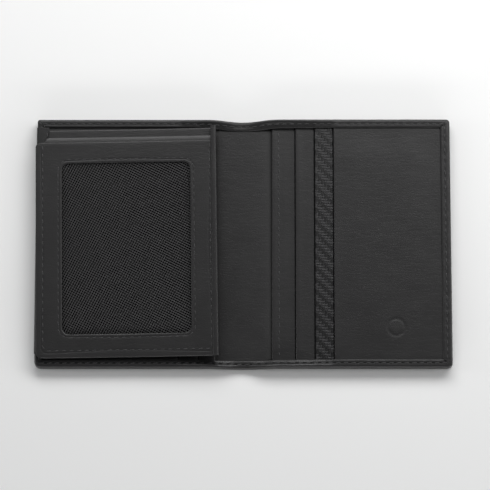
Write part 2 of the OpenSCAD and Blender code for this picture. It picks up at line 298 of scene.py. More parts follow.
def ring(outer, inner, top, bottom, grooves=(), sewn=None, edge=0.35):
    """A flat frame between two loops of points, with rolled edges and sewn-in grooves at distances
    from the outer edge (positive) or from the inner one (negative). sewn is 1 where the outer edge is sewn
    down and 0 where it is free."""
    width = np.linalg.norm(inner - outer, axis=1)
    lead = edge * np.append(ROLL_STEPS, 1.0)
    groove_steps = np.array([-0.75, -0.4, -0.2, 0, 0.2, 0.4, 0.75])
    groove_depth, groove_width = 0.06, 0.30
    marks = [np.full((len(width), 1), d) for d in lead]
    for g in sorted(g for g in grooves if g > 0):
        marks += [np.full((len(width), 1), g + s) for s in groove_steps]
    begun = marks[-1]
    tail = []
    for g in sorted((-g for g in grooves if g < 0), reverse=True):
        tail += [width[:, None] - (g + s) for s in groove_steps[::-1]]
    tail += [width[:, None] - d for d in lead[::-1]]
    middle = [begun + (tail[0] - begun) * t for t in np.linspace(0, 1, 7)[1:-1]]
    along = np.concatenate(marks + middle + tail, axis=1)
    share = along / width[:, None]
    xy = outer[:, None, :] + (inner - outer)[:, None, :] * share[:, :, None]
    x, y = xy[..., 0], xy[..., 1]
    inside = np.minimum(along, width[:, None] - along)
    roll = rolled(inside, edge)
    high, low = top(x, y), bottom(x, y)
    half = (high - low) / 2 * FALL
    dip = np.zeros_like(x)
    for g in grooves:
        away = along - g if g > 0 else (width[:, None] - along) + g
        dip += groove_depth * np.exp(-(away / groove_width) ** 2) * (sewn[:, None] if g > 0 else 1.0)
    above = np.stack([x, y, high - half * roll - dip], axis=2)
    below = np.stack([x, y, low + half * roll], axis=2)[:, ::-1]
    strip = np.concatenate([above, below], axis=1)
    count, columns = strip.shape[:2]
    closed = np.concatenate([strip, strip[:1]]).reshape(-1, 3)
    faces = grid_faces(count + 1, columns, flip=True)
    for i in range(count):
        a, b = i * columns, (i + 1) * columns
        faces.append([a, b, b + columns - 1, a + columns - 1])
    near = np.exp(-inside / NEAR)
    edges = np.concatenate([near, near[:, ::-1]], axis=1)
    return weld(closed, faces, np.concatenate([edges, edges[:1]]).ravel())


def band(profile, ys, shift=None):
    """A closed profile of (x, z) points swept along Y; shift(y) moves it sideways and up."""
    profile = np.array(profile, float)
    n = len(profile)
    points = []
    for y in ys:
        dx, dz = shift(y) if shift else (0, 0)
        points.append(np.stack([profile[:, 0] + dx, np.full(n, y), profile[:, 1] + dz], axis=1))
    points = np.concatenate(points)
    return points, strand_faces(len(ys), n), np.zeros(len(points))


def along_path(path, pitch, start=0.5):
    """Places spaced evenly along a line of points, and the direction at each."""
    path = np.array(path, float)
    steps = np.linalg.norm(np.diff(path, axis=0), axis=1)
    keep = np.concatenate([[True], steps > 1e-6])
    path = path[keep]
    length = np.concatenate([[0], np.cumsum(np.linalg.norm(np.diff(path, axis=0), axis=1))])
    count = max(1, int(length[-1] / pitch))
    at = (np.arange(count) + start) * length[-1] / count
    places = np.stack([np.interp(at, length, path[:, k]) for k in (0, 1)], axis=1)
    ahead = np.stack([np.interp(at + 0.4, length, path[:, k]) for k in (0, 1)], axis=1)
    behind = np.stack([np.interp(at - 0.4, length, path[:, k]) for k in (0, 1)], axis=1)
    way = ahead - behind
    return places, way / np.linalg.norm(way, axis=1)[:, None]


def stitches(path, surface, slant=0.10, length=2.15, radius=0.19, seed=1):
    """A row of thread stitches, each an arched strand that dives into the leather at both ends."""
    places, ways = along_path(path, STITCH_PITCH)
    rings, sides = 9, 7
    t = np.linspace(-1, 1, rings)
    shapes = []
    for k, (place, way) in enumerate(zip(places, ways)):
        turn = slant + 0.03 * math.sin(k * 2.4 + seed)
        c, s = math.cos(turn), math.sin(turn)
        way = np.array([way[0] * c - way[1] * s, way[0] * s + way[1] * c])
        side = np.array([-way[1], way[0]])
        xy = place + np.outer(t * length / 2, way)
        z = surface(xy[:, 0], xy[:, 1]) + 0.12 - 0.34 * np.abs(t) ** 3.2
        thick = radius * (1 - 0.35 * np.abs(t) ** 4)
        points = []
        for i in range(rings):
            for j in range(sides):
                a = 2 * math.pi * j / sides
                out = side * thick[i] * math.cos(a)
                points.append((xy[i, 0] + out[0], xy[i, 1] + out[1], z[i] + 0.8 * thick[i] * math.sin(a)))
        shapes.append((np.array(points), strand_faces(rings, sides), np.zeros(len(points))))
    return joined(*shapes)


def on_leaf(shape):
    """Turns a shape with the leaf, and lifts it towards the leaf's free edge."""
    points, faces, edge = shape
    points = points.copy()
    points[:, 2] += leaf_lift(points[:, 0])
    c, s = math.cos(LEAF_SKEW), math.sin(LEAF_SKEW)
    rel = points[:, :2] - LEAF_MID
    points[:, 0] = LEAF_MID[0] + rel[:, 0] * c - rel[:, 1] * s
    points[:, 1] = LEAF_MID[1] + rel[:, 0] * s + rel[:, 1] * c
    return points, faces, edge


def leaf_lift(x):
    t = np.clip((x - LEAF_X0) / (LEAF_X1 - LEAF_X0), 0, 1)
    return LEAF_LIFT * t ** 2.2


# ---- materials


class Nodes:
    """Short-hand for wiring a material's nodes."""

    def __init__(self, name):
        self.material = bpy.data.materials.new(name)
        self.material.use_nodes = True
        self.tree = self.material.node_tree
        self.shader = self.tree.nodes["Principled BSDF"]

    def add(self, kind, inputs=(), **settings):
        made = self.tree.nodes.new(kind)
        for key, value in settings.items():
            setattr(made, key, value)
        for key, value in dict(inputs).items():
            self.put(made.inputs[key], value)
        return made

    def put(self, socket, value):
        if isinstance(value, bpy.types.NodeSocket):
            self.tree.links.new(value, socket)
        else:
            socket.default_value = value

    def rest(self):
        """Where a point of the surface is when the wallet lies open, in millimetres."""
        return self.add("ShaderNodeAttribute", attribute_name="rest_mm").outputs["Vector"]

    def share(self, name):
        """A number that each point of the mesh carries."""
        return self.add("ShaderNodeAttribute", attribute_name=name).outputs["Fac"]

    def stretched(self, vector, scale):
        mapping = self.add("ShaderNodeMapping", {"Vector": vector, "Scale": scale})
        return mapping.outputs["Vector"]

    def noise(self, vector, scale, detail=3.0, roughness=0.55):
        made = self.add("ShaderNodeTexNoise", {"Vector": vector, "Scale": scale, "Detail": detail,
                                               "Roughness": roughness})
        return made.outputs["Fac"]

    def maths(self, operation, a, b=0.0, clamp=False):
        made = self.add("ShaderNodeMath", operation=operation, use_clamp=clamp)
        self.put(made.inputs[0], a)
        self.put(made.inputs[1], b)
        return made.outputs[0]

    def times(self, a, b, clamp=False):
        return self.maths("MULTIPLY", a, b, clamp)

    def beat(self, axis, spacing):
        """A sine along one axis of the wallet at rest, with waves this far apart in millimetres."""
        parts = self.add("ShaderNodeSeparateXYZ", {"Vector": self.rest()})
        return self.maths("SINE", self.times(parts.outputs[axis], 2 * math.pi / spacing))

    def remap(self, value, low, high, to_low, to_high):
        made = self.add("ShaderNodeMapRange", {"Value": value, "From Min": low, "From Max": high,
                                               "To Min": to_low, "To Max": to_high})
        return made.outputs[0]

    def mix(self, share, a, b):
        made = self.add("ShaderNodeMix", data_type="RGBA")
        self.put(made.inputs["Factor"], share)
        self.put(made.inputs[6], a)
        self.put(made.inputs[7], b)
        return made.outputs[2]

    def bump(self, height, strength, distance):
        made = self.add("ShaderNodeBump", {"Height": height, "Strength": strength, "Distance": distance})
        return made.outputs["Normal"]

    def set(self, **values):
        for key, value in values.items():
            self.put(self.shader.inputs[key.replace("_", " ")], value)
        return self.material


def grey(value, tint=(1.0, 0.97, 0.985)):
    return (value * tint[0], value * tint[1], value * tint[2], 1.0)


def leather(name, shade, roughness):
    """Smooth dyed leather: a fine pore grain, faint creases across, and edges rubbed a little shiny;
    near_edge also lightens the colour near edges, partly rubbing and partly painted highlight, and where
    negative darkens it with painted shade.
    """
    n = Nodes(name)
    at = n.rest()
    pores = n.add("ShaderNodeTexVoronoi", {"Vector": at, "Scale": 2.4, "Randomness": 1.0},
                  feature="SMOOTH_F1").outputs["Distance"]
    wrinkles = n.noise(n.stretched(at, (0.10, 0.55, 0.3)), 1.0, 4.0, 0.6)
    clouds = n.noise(at, 0.085, 3.0)
    fine = n.noise(at, 5.0, 2.0)
    edge = n.share("near_edge")
    lines = n.maths("ABSOLUTE", n.maths("SUBTRACT", wrinkles, 0.5))
    furrow = n.remap(lines, 0.0, 0.05, 1.0, 0.0)
    height = n.maths("ADD", n.times(pores, 0.55), n.times(fine, 0.25))
    height = n.maths("SUBTRACT", height, n.times(furrow, 0.30))
    tone = n.mix(n.remap(clouds, 0.3, 0.7, 0.0, 1.0), grey(shade * 0.95), grey(shade * 1.06))
    # painted highlight: positive near_edge lightens the colour towards twice its shade, partly rubbed edges
    tone = n.mix(n.times(edge, 0.35, clamp=True), tone, grey(shade * 2.1))
    tone = n.mix(n.remap(pores, 0.0, 0.35, 0.25, 0.0), tone, grey(shade * 0.6))
    # painted shade: negative near_edge darkens the colour towards black in creases, grooves and under turned
    # edges
    tone = n.mix(n.times(edge, -0.85, clamp=True), tone, grey(0.002))
    gloss = n.remap(clouds, 0.3, 0.7, roughness - 0.015, roughness + 0.02)
    gloss = n.maths("SUBTRACT", gloss, n.times(edge, 0.08))
    gloss = n.maths("ADD", gloss, n.remap(fine, 0.3, 0.7, -0.03, 0.03))
    gloss = n.maths("ADD", gloss, n.times(n.times(edge, -1.0, clamp=True), 0.55))
    return n.set(Base_Color=tone, Roughness=gloss, Normal=n.bump(height, 0.48, 0.00009),
                 Specular_IOR_Level=0.36, Sheen_Weight=0.03, Sheen_Roughness=0.5)


TWILL_THREAD = 0.24          # spacing of the fine threads pressed into each float of the twill


def twill_leather():
    """Leather embossed with a twill; its two directions of float get a lighter and a darker colour, painted
    light for how differently they catch the lamps.
    """
    n = Nodes("twill_leather")
    grain = n.noise(n.rest(), 3.0, 3.0)
    float_way = n.share("twill")
    lengthwise, crosswise = n.beat("X", TWILL_THREAD), n.beat("Y", TWILL_THREAD)
    threads = n.maths("ADD", n.times(lengthwise, float_way),
                      n.times(crosswise, n.maths("SUBTRACT", 1.0, float_way)))
    # painted light: floats along one way get a lighter colour than those along the other
    tone = n.mix(float_way, (0.013, 0.0127, 0.0135, 1), (0.003, 0.003, 0.0032, 1))
    tone = n.mix(n.remap(grain, 0.35, 0.65, 0.0, 0.25), tone, (0.009, 0.0088, 0.0092, 1))
    rough = n.remap(float_way, 0.0, 1.0, 0.40, 0.43)
    height = n.maths("ADD", n.times(threads, 0.35), n.times(grain, 0.5))
    return n.set(Base_Color=tone, Roughness=rough, Normal=n.bump(height, 0.6, 0.00005),
                 Specular_IOR_Level=0.33, Coat_Weight=0.03, Coat_Roughness=0.35)


def thread_material():
    n = Nodes("sewing_thread")
    ply = n.add("ShaderNodeTexWave", {"Vector": n.stretched(n.rest(), (1.0, 1.0, 1.6)), "Scale": 1.1,
                                      "Distortion": 1.2, "Detail": 1.0}, bands_direction="DIAGONAL")
    twist = ply.outputs["Fac"]
    tone = n.mix(twist, (0.008, 0.008, 0.0085, 1), (0.036, 0.035, 0.036, 1))
    return n.set(Base_Color=tone, Roughness=n.remap(twist, 0, 1, 0.62, 0.45),
                 Normal=n.bump(twist, 0.5, 0.00006), Sheen_Weight=0.15, Sheen_Roughness=0.4)


def net_material():
    n = Nodes("window_net")
    fuzz = n.noise(n.rest(), 6.0, 3.0)
    tone = n.mix(fuzz, (0.024, 0.0232, 0.024, 1), (0.050, 0.0485, 0.050, 1))
    painted_border_shade = n.share("near_edge")
    # painted shade of the frame on the net, darkening it near the window's border
    tone = n.mix(n.times(painted_border_shade, 0.75), tone, (0.004, 0.004, 0.004, 1))
    return n.set(Base_Color=tone, Roughness=n.remap(fuzz, 0.3, 0.7, 0.42, 0.56),
                 Normal=n.bump(fuzz, 0.4, 0.00003), Sheen_Weight=0.1, Sheen_Roughness=0.4)


def cloth_material(name, shade, thread, tint=(1.0, 1.0, 1.05), shine=0.4):
    """Plain-woven cloth with threads of the given spacing, in millimetres."""
    n = Nodes(name)
    weave = n.times(n.beat("X", thread), n.beat("Y", thread))
    fuzz = n.noise(n.rest(), 4.0, 3.0)
    tone = n.mix(n.remap(weave, -1, 1, 0.2, 0.8), grey(shade * 0.7, tint), grey(shade * 1.2, tint))
    tone = n.mix(n.times(fuzz, 0.3), tone, grey(shade * 1.6, tint))
    return n.set(Base_Color=tone, Roughness=n.remap(fuzz, 0.3, 0.7, 0.75, 0.9),
                 Normal=n.bump(weave, 0.4, 0.00005), Specular_IOR_Level=shine, Sheen_Weight=0.2 * shine,
                 Sheen_Roughness=0.5)


def board_material():
    n = Nodes("stiffening_board")
    at = n.add("ShaderNodeTexCoord").outputs["Object"]
    fibres = n.noise(n.stretched(at, (900, 2600, 900)), 1.0, 5.0, 0.65)
    tone = n.mix(fibres, (0.20, 0.185, 0.16, 1), (0.36, 0.34, 0.30, 1))
    return n.set(Base_Color=tone, Roughness=n.remap(fibres, 0.2, 0.8, 0.8, 0.95),
                 Normal=n.bump(fibres, 0.3, 0.00005))


def film_material():
    n = Nodes("shield_film")
    at = n.add("ShaderNodeTexCoord").outputs["Object"]
    crinkle = n.noise(at, 220.0, 4.0, 0.6)
    tone = n.mix(crinkle, (0.52, 0.53, 0.54, 1), (0.66, 0.67, 0.68, 1))
    return n.set(Base_Color=tone, Metallic=1.0, Roughness=n.remap(crinkle, 0.3, 0.7, 0.25, 0.42),
                 Normal=n.bump(crinkle, 0.25, 0.00006))


SHELL_LEATHER = leather("shell_leather", 0.015, 0.42), "shell_leather"
POCKET_LEATHER = leather("pocket_leather", 0.0155, 0.41), "pocket_leather"
TWILL = twill_leather(), "twill_leather"
THREAD = thread_material(), "thread"
NET = net_material(), "window_net"
LINING = cloth_material("lining_cloth", 0.004, 0.5, shine=0.05), "lining_cloth"
FLEECE = cloth_material("interlining", 0.22, 0.9, (1.0, 0.97, 0.92))
BOARD = board_material()
FILM = film_material()

# ---- the outer shell


Y_IN0, Y_IN1 = Y_LOW + HEM_BOTTOM, Y_HIGH - HEM_TOP     # the inner sides of the turned edges
CORNER_STEPS = 8
LIP_WAVE, PLEAT, PUCKER = 0.06, 0.16, 0.045     # heights of the edge's waves, corner pleats and puckers
INNER_WAVE = 0.035           # how far its inner side wanders, as a share of its width
# the leather's cross-section from the middle of its back, out round the edge and back to its inner face:
# how far in from the outer edge, as a share of the turned edge, and the height, counted from the floor, from
# the top of the turned edge or, at the seam, from the same with its puckers
SHELL_SECTION = [
    (1.0, "low", 0.0), (0.72, "low", 0.0), (0.45, "low", 0.0), (0.26, "low", 0.02),
    (0.14, "low", 0.08), (0.055, "low", 0.22), (0.012, "low", 0.45), (0.0, "low", 0.75),
    (-0.012, "mid", 0.0), (0.0, "rim", -1.0), (0.008, "rim", -0.72), (0.035, "rim", -0.44),
    (0.085, "rim", -0.22), (0.15, "rim", -0.09), (0.23, "rim", -0.02), (0.34, "rim", 0.0),
    (0.42, "rim", -0.01), (0.48, "seam", -0.01), (0.525, "seam", -0.03), (SEAM, "seam", -0.04),
    (0.595, "seam", -0.03), (0.64, "seam", -0.01), (0.75, "rim", 0.0), (0.86, "rim", -0.01),
    (0.93, "rim", -0.07), (0.975, "rim", -0.20), (1.0, "rim", -0.38), (0.99, "rim", -LIP_T),
    (0.9, "rim", -LIP_T - 0.02), (0.36, "rim", -LIP_T - 0.02), (0.29, "rim", -LIP_T - 0.1),
    (0.26, "rim", -LIP_T - 0.3), (0.26, "low", SHELL_T + 0.06), (0.30, "low", SHELL_T),
    (0.6, "low", SHELL_T), (1.0, "low", SHELL_T)]


def walked(points):
    """How far along a line of points each of them lies."""
    return np.concatenate([[0], np.cumsum(np.linalg.norm(np.diff(points, axis=0), axis=1))])


class Half:
    """One half of the shell, from the middle of the spine out to its end, measured along u and y."""

    def __init__(self, x_end, hem, corners, edge_z, steps):
        self.side = 1 if x_end > X_MID else -1
        self.reach = abs(x_end - X_MID)
        self.hem = hem
        self.corners = corners
        self.edge_z = edge_z
        self.steps = steps
        self.u_stack = abs(steps[0][0] - X_MID)
        u_in = self.reach - hem
        self.us = np.linspace(0, u_in, int(u_in / SHELL_STEP) + 1)
        self.ys = np.linspace(Y_IN0, Y_IN1, int((Y_IN1 - Y_IN0) / SHELL_STEP) + 1)
        self.outer, self.inner = self.path()

    def x(self, u):
        return X_MID + self.side * u

    def rim_height(self, u):
        """Height of the turned edge: high beside the pockets, low on the spine."""
        return SPINE_EDGE_Z + (self.edge_z - SPINE_EDGE_Z) * smooth(0.4, self.u_stack, u)

    def lip_height(self, u):
        """Height of the turned edge's inner side, which lies on the pockets and follows their steps."""
        height = np.full(np.shape(u), float(SPINE_EDGE_Z))
        for x_edge, rise in self.steps:
            at = abs(x_edge - X_MID)
            height = height + rise * smooth(at - 1.2, at + 0.2, u)
        return 0.72 * height + 0.28 * self.rim_height(u)

    def path(self):
        """Points round the half's edge and the matching points of the turned edge's inner side."""
        low_r, high_r = self.corners
        u_end, u_in = self.reach, self.reach - self.hem
        far_us = np.linspace(u_in, u_end - high_r, 4)[1:]
        outer = [(u, Y_HIGH) for u in np.concatenate([self.us, far_us])]
        for i in range(1, CORNER_STEPS + 1):
            t = math.pi / 2 * (1 - i / CORNER_STEPS)
            outer.append((u_end - high_r + high_r * math.cos(t), Y_HIGH - high_r + high_r * math.sin(t)))
        top_ys = np.linspace(Y_HIGH - high_r, Y_IN1, 4)[1:-1]
        low_ys = np.linspace(Y_IN0, Y_LOW + low_r, 3)[1:]
        outer += [(u_end, y) for y in np.concatenate([top_ys, self.ys[::-1], low_ys])]
        for i in range(1, CORNER_STEPS + 1):
            t = -math.pi / 2 * i / CORNER_STEPS
            outer.append((u_end - low_r + low_r * math.cos(t), Y_LOW + low_r + low_r * math.sin(t)))
        far_us = np.linspace(u_end - low_r, u_in, 3)[1:-1]
        outer = np.array(outer + [(u, Y_LOW) for u in np.concatenate([far_us, self.us[::-1]])])
        return outer, np.stack([np.minimum(outer[:, 0], u_in), np.clip(outer[:, 1], Y_IN0, Y_IN1)], axis=1)

    def corner_share(self):
        """1 at the two corners of the turned edge and 0 away from them."""
        near = np.linalg.norm(self.outer - self.inner, axis=1)
        plain = np.where(np.abs(self.outer[:, 0] - self.reach) < 1e-6, self.hem,
                         np.where(self.outer[:, 1] > 0, HEM_TOP, HEM_BOTTOM))
        return np.clip((near / plain - 1.0) / 0.25, 0, 1)

    def mesh(self):
        """The leather as one closed skin: flat back, rolled edge, turned-over lip and inner face."""
        rim, lip = self.rim_height(self.outer[:, 0]), self.lip_height(self.outer[:, 0])
        walk = walked(self.outer)
        wave = ripple(walk, 0 * walk, 7.0, 11 + self.side)
        gather = ripple(walk, 0 * walk, 2.2, 31 + self.side)
        sewn = self.outer + (self.inner - self.outer) * SEAM
        run = walked(sewn)
        pucker = np.cos(2 * math.pi * run / run[-1] * int(run[-1] / STITCH_PITCH))
        pleat = self.corner_share() * np.sin(walk * 5.5)
        front = smooth(0.5, 0, self.outer[:, 1] - Y_LOW)
        loops, near = [], []
        for share, kind, dz in SHELL_SECTION:
            xy = self.outer + (self.inner - self.outer) * share
            if kind == "low":
                z = np.full(len(rim), dz)
            elif kind == "mid":
                z = 0.75 + (rim - 1.75) * 0.5       # half-way between the lines below and above it
            else:
                drop = smooth(0.15, 0.95, share) * (rim - lip)
                z = rim - drop + dz
                if share > 0.15 and dz > -LIP_T:
                    z = z + LIP_WAVE * wave * share + PLEAT * pleat * share
                    z = z + GATHER * gather * (1 - self.corner_share()) * math.sin(math.pi * share)
                if kind == "seam":
                    z = z - PUCKER * (1 + pucker) * (1 - self.corner_share())
            if kind != "low" and share == 1.0:
                xy = xy - (self.inner - self.outer) * (INNER_WAVE * wave[:, None])
            loops.append(np.concatenate([xy, z[:, None]], axis=1))
            near.append(self.rubbing_and_painted_light(share, kind, dz, pucker, front))
        shapes = [(np.concatenate(loops), grid_faces(len(loops), len(rim)), np.concatenate(near))]
        u, y = np.meshgrid(self.us, self.ys)
        for z, flip in ((0.0, True), (SHELL_T, False)):
            flat = np.stack([u, y, np.full_like(u, z)], axis=2).reshape(-1, 3)
            shapes.append((flat, grid_faces(*u.shape, flip=flip), np.zeros(len(flat))))
        points, faces, edge = weld(*joined(*shapes))
        points = self.drooped(points)
        points[:, 0] = self.x(points[:, 0])
        return points, faces, edge

    def rubbing_and_painted_light(self, share, kind, dz, pucker, front):
        """How bright (positive) or dark (negative) the colour of one line round the turned edge is: painted
        highlights on the rolled edge and the inner ridge, partly rubbing, and painted shade in the seam's
        groove, its stitch holes and under the lip.
        """
        # painted shade in the sewn groove and its stitch holes, deeper along the front
        if kind == "seam":
            return -(0.30 + 0.45 * front + 0.15 * pucker)
        # painted shade under the turned edge's inner side
        if kind != "rim" or dz < -0.5:
            return np.full(len(front), -0.8 if kind == "rim" and share > 0.9 else 0.0)
        # painted highlights on the rolled outer edge and the inner ridge, stronger along the front; painted
        # shade on the lip's last row
        if share < 0.2:
            return np.full(len(front), 0.9 if share > 0.02 else 0.0)
        if share < 0.45:
            return 0.6 * front
        if share > 0.99:
            return np.full(len(front), -0.8)
        return np.full(len(front), 0.55 if share > 0.93 else 0.0) + 0.7 * front * (share > 0.8)

    def droop(self, u):
        """The share of the droop at a place: 1 at the middle of the spine and 0 beside the pockets."""
        return np.clip(1 - (u / (self.u_stack + SAG_PAST_STACK)) ** 2, 0, 1) ** 1.5

    def drooped(self, points):
        """Over the spine the top edge hangs a little inwards, and the front edge bulges a little outwards."""
        near = self.droop(points[:, 0])
        lip = points[:, 2] > SHELL_T + 0.1
        inwards = np.clip((Y_HIGH - points[:, 1]) / HEM_TOP, 0, 1)
        points[:, 1] -= near * smooth(30, Y_IN1, points[:, 1]) * np.where(lip, SAG + LIP_SAG * inwards, SAG)
        points[:, 1] -= FRONT_SAG * near * smooth(-30, Y_IN0, points[:, 1])
        return points

    def seam(self):
        """The line that the rim's sewing follows."""
        line = self.outer + (self.inner - self.outer) * SEAM
        above_lip = 9.0
        line = self.drooped(np.column_stack([line, np.full(len(line), above_lip)]))
        return np.stack([self.x(line[:, 0]), line[:, 1]], axis=1)

    def surface(self, x, y):
        u = np.abs(x - X_MID)
        rim = self.rim_height(u)
        return rim - smooth(0.15, 0.95, SEAM) * (rim - self.lip_height(u)) - 0.05


def tidy_normals(made):
    """Turns every face outwards, and closes the cut at the middle of the spine."""
    mesh = bmesh.new()
    mesh.from_mesh(made.data)
    open_edges = [e for e in mesh.edges if e.is_boundary]
    if open_edges:
        bmesh.ops.holes_fill(mesh, edges=open_edges, sides=0)
    bmesh.ops.recalc_face_normals(mesh, faces=mesh.faces)
    mesh.to_mesh(made.data)
    mesh.free()
    made.data.shade_smooth()
    made.data.set_sharp_from_angle(angle=math.radians(70))


def fold(joint, first, second):
    """A bend between two bodies, from one side of a fold line to the other."""
    x = FOLD_X[joint]
    return first, second, ((x - FOLD_REACH) * MM, 0, 0), ((x + FOLD_REACH) * MM, 0, 0)


FOLDS = {"left": fold("spine_fold_left", "left_panel", "spine"),
         "right": fold("spine_fold_right", "spine", "right_panel")}
LEFT = Half(X_LEFT, HEM_LEFT, CORNERS_LEFT, LEFT_EDGE_Z, LEFT_STEPS)
RIGHT = Half(X_RIGHT, HEM_RIGHT, CORNERS_RIGHT, RIGHT_EDGE_Z, RIGHT_STEPS)

for half, label in ((LEFT, "left"), (RIGHT, "right")):
    tidy_normals(piece(f"shell_{label}", half.mesh(), SHELL_LEATHER, bend=FOLDS[label],
                       replaces=(f"outer_shell_{label}", "outer_shell_spine")))
    piece(f"rim_thread_{label}", stitches(half.seam(), half.surface, seed=3), THREAD, bend=FOLDS[label],
          replaces=(f"rim_stitching_{label}", "rim_stitching_spine"))

# ---- inner facing and pockets


def flat(z):
    return lambda x, y: np.full(np.shape(x), float(z))


def shifted(top, bottom, shift):
    """The heights of a sheet's top and bottom face, both moved by the same shift(x, y)."""
    return (lambda x, y: top + shift(x, y)), (lambda x, y: bottom + shift(x, y))


def hem_shade(x, y):
    """1 along the line where the turned edge comes down on the sheets inside it, 0 a little way off."""
    near = LEFT.droop(x - X_MID)
    top = Y_IN1 - near * (SAG + LIP_SAG)
    low = Y_IN0 - FRONT_SAG * near
    right = X_RIGHT - HEM_RIGHT
    low_width = np.where(x < LEAF_X1, 1.6, 0.5)     # the painted shade is wider under the leaf, which shades it
    shade = smooth(-0.9, -0.1, y - top) + smooth(-low_width, 0, low - y) + smooth(-0.5, 0, x - right)
    return shade.clip(0, 1)


def shaded(shape, strength=0.75):
    """The same shape with painted shade in the crease beside the turned edge."""
    points, faces, edge = shape
    return points, faces, edge - strength * hem_shade(points[:, 0], points[:, 1]) * (1 + np.abs(edge))


def facing(side):
    """Half of the smooth inner leather, which swells a little between the two stacks of pockets."""
    x0, x1, y0, y1, z0, z1 = layer(f"inner_facing_{side}")
    if side == "left":
        x1 = X_MID
    else:
        x0 = X_MID

    def swelling(x, y):
        away = np.clip(1 - np.abs((x - X_MID) / 11.6) ** 3, 0, 1)
        crease = np.exp(-((np.abs(x - X_MID) - 11.5) / 0.7) ** 2)
        return 0.26 * away - 0.12 * crease + 0.05 * ripple(x, y, 9.0, 5) * away

    points, faces, _ = slab(x0, x1, y0, y1, *shifted(z1, z0, swelling), edge=0.02, step=0.6, fall=0.0)
    # painted shade on the facing beside the first pocket's edge
    crease = 0.9 * np.exp(-np.abs(points[:, 0] - RIGHT_STEPS[0][0]) / 1.1)
    return shaded((points, faces, -crease))


for label in FOLDS:
    tidy_normals(piece(f"facing_{label}", facing(label), POCKET_LEATHER, bend=FOLDS[label],
                       replaces=(f"inner_facing_{label}", "inner_facing_spine")))


def pocket(node, name, body, seed):
    """A pocket's leather, with a rolled free edge and the slight waviness of a sewn sheet."""
    x0, x1, y0, y1, z0, z1 = layer(node)
    free = x0 if body == "right_panel" else x1
    bead_height = 0.16

    def wave(x, y):
        hold = smooth(0, 5, y - y0 - 2) * smooth(0, 5, y1 - y - 2)
        away = np.abs(x - free)
        bead = bead_height * np.exp(-((away - 0.9) / 0.9) ** 2) - 0.10 * np.exp(-((away - 7.6) / 0.8) ** 2)
        return (0.04 * ripple(x, y, 14.0, seed) + bead) * hold

    points, faces, edge = slab(x0, x1, y0, y1, lambda x, y: z1 + wave(x, y),
                               lambda x, y: z0 + np.minimum(wave(x, y), bead_height), edge=0.42, step=1.3)
    if body == "right_panel":
        # painted highlight: stronger edge lightening along the right panel's free pocket edges
        edge = edge * (1 + 1.6 * np.exp(-np.abs(points[:, 0] - free)))
    piece(name, shaded((points, faces, edge)), POCKET_LEATHER, body, replaces=(node,))


LINING_PEEK = 1.45           # how far a lining reaches past its CAD sheet; the dark strip it shows at the pocket's edge stands in for the shade in the step


def lining(node, name, body):
    """A thin textile lining behind a pocket, which shows past the pocket's edge as a dark strip: a real
    lining, reaching further to stand in for the shade in the step.
    """
    x0, x1, y0, y1, z0, z1 = layer(node)
    if body == "right_panel":
        x0 -= LINING_PEEK
    else:
        x1 += LINING_PEEK
    made = piece(name, slab(x0, x1, y0, y1, flat(z1), flat(z0), edge=0.06, step=4.0), LINING, body,
                 replaces=(node,))


for node, seed in (("left_pocket_base", 21), ("left_card_pocket_1", 22), ("left_card_pocket_2", 23)):
    pocket(node, node.replace("left_", "left_side_"), "left_panel", seed)
for node, seed in (("right_pocket_base", 24), ("card_pocket_1", 25)):
    pocket(node, f"{node}_leather", "right_panel", seed)

# ---- the twill strip

TOW = 1.2                    # width of one float of the twill
TWILL_DEPTH = 0.10


def twill_pocket():
    """The second pocket, whose face is embossed with a two-over-two twill."""
    node = "twill_card_pocket"
    x0, x1, y0, y1, z0, z1 = layer(node)
    face_x = layer("front_card_pocket")[0] + 1.0
    edge = 0.35
    fine_x = np.arange(x0 + edge, face_x, TOW / 6)
    xs = np.concatenate([x0 + edge * ROLL_STEPS, fine_x, [face_x + 4, x1]])
    ys = np.arange(y0, y1, TOW / 6)
    x, y = np.meshgrid(xs, ys)
    column, row = np.floor((x - x0) / TOW), np.floor((y - y0) / TOW)
    over = ((column + row) % 4 < 2).astype(float)
    fx, fy = (x - x0) / TOW - column, (y - y0) / TOW - row
    crown = np.where(over > 0, np.sin(np.pi * fx), np.sin(np.pi * fy)) ** 0.6
    shown = smooth(x0 + 0.2, x0 + 0.9, x) * (x < face_x)
    roll = rolled(x - x0, edge)
    half = (z1 - z0) / 2 * FALL
    high = z1 - TWILL_DEPTH * shown * (1 - crown) - half * roll
    points, faces = closed_sheet(x, y, high, z0 + half * roll)
    made = piece("twill_strip", (points, faces, np.zeros(len(points))), TWILL, "right_panel",
                 replaces=(node,))
    way = made.data.attributes.new("twill", "FLOAT", "POINT")
    way.data.foreach_set("value", np.concatenate([over.ravel(), over.ravel()]).astype(np.float32))


twill_pocket()

# ---- the front pocket

EMBLEM = (61.5, -34.6)       # middle of a small plain ring pressed into the front pocket
EMBLEM_R = 3.4


def front_pocket():
    """The front pocket's leather: slack in the middle, held down along the sewn edges."""
    node = "front_card_pocket"
    x0, x1, y0, y1, z0, z1 = layer(node)

    def top(x, y):
        hold = smooth(0, 12, y - y0 - 3.4) * smooth(0, 12, y1 - y - 4.0) * smooth(0, 12, x1 - x - 3.4)
        creases = 0.05 * ripple(x * 0.35, y, 3.4, 41) * smooth(30, 2, x1 - x)
        slack = 0.18 * hold * smooth(0, 10, x - x0) + 0.07 * ripple(x, y, 16.0, 42)
        pressed = np.exp(-((np.hypot(x - EMBLEM[0], y - EMBLEM[1]) - EMBLEM_R) / 0.42) ** 2)
        return z1 + slack + creases * hold - 0.16 * pressed

    shape = slab(x0, x1, y0, y1, top, lambda x, y: top(x, y) - (z1 - z0), step=0.5)
    piece("front_pocket_leather", shaded(shape), POCKET_LEATHER, "right_panel", replaces=(node,))


front_pocket()

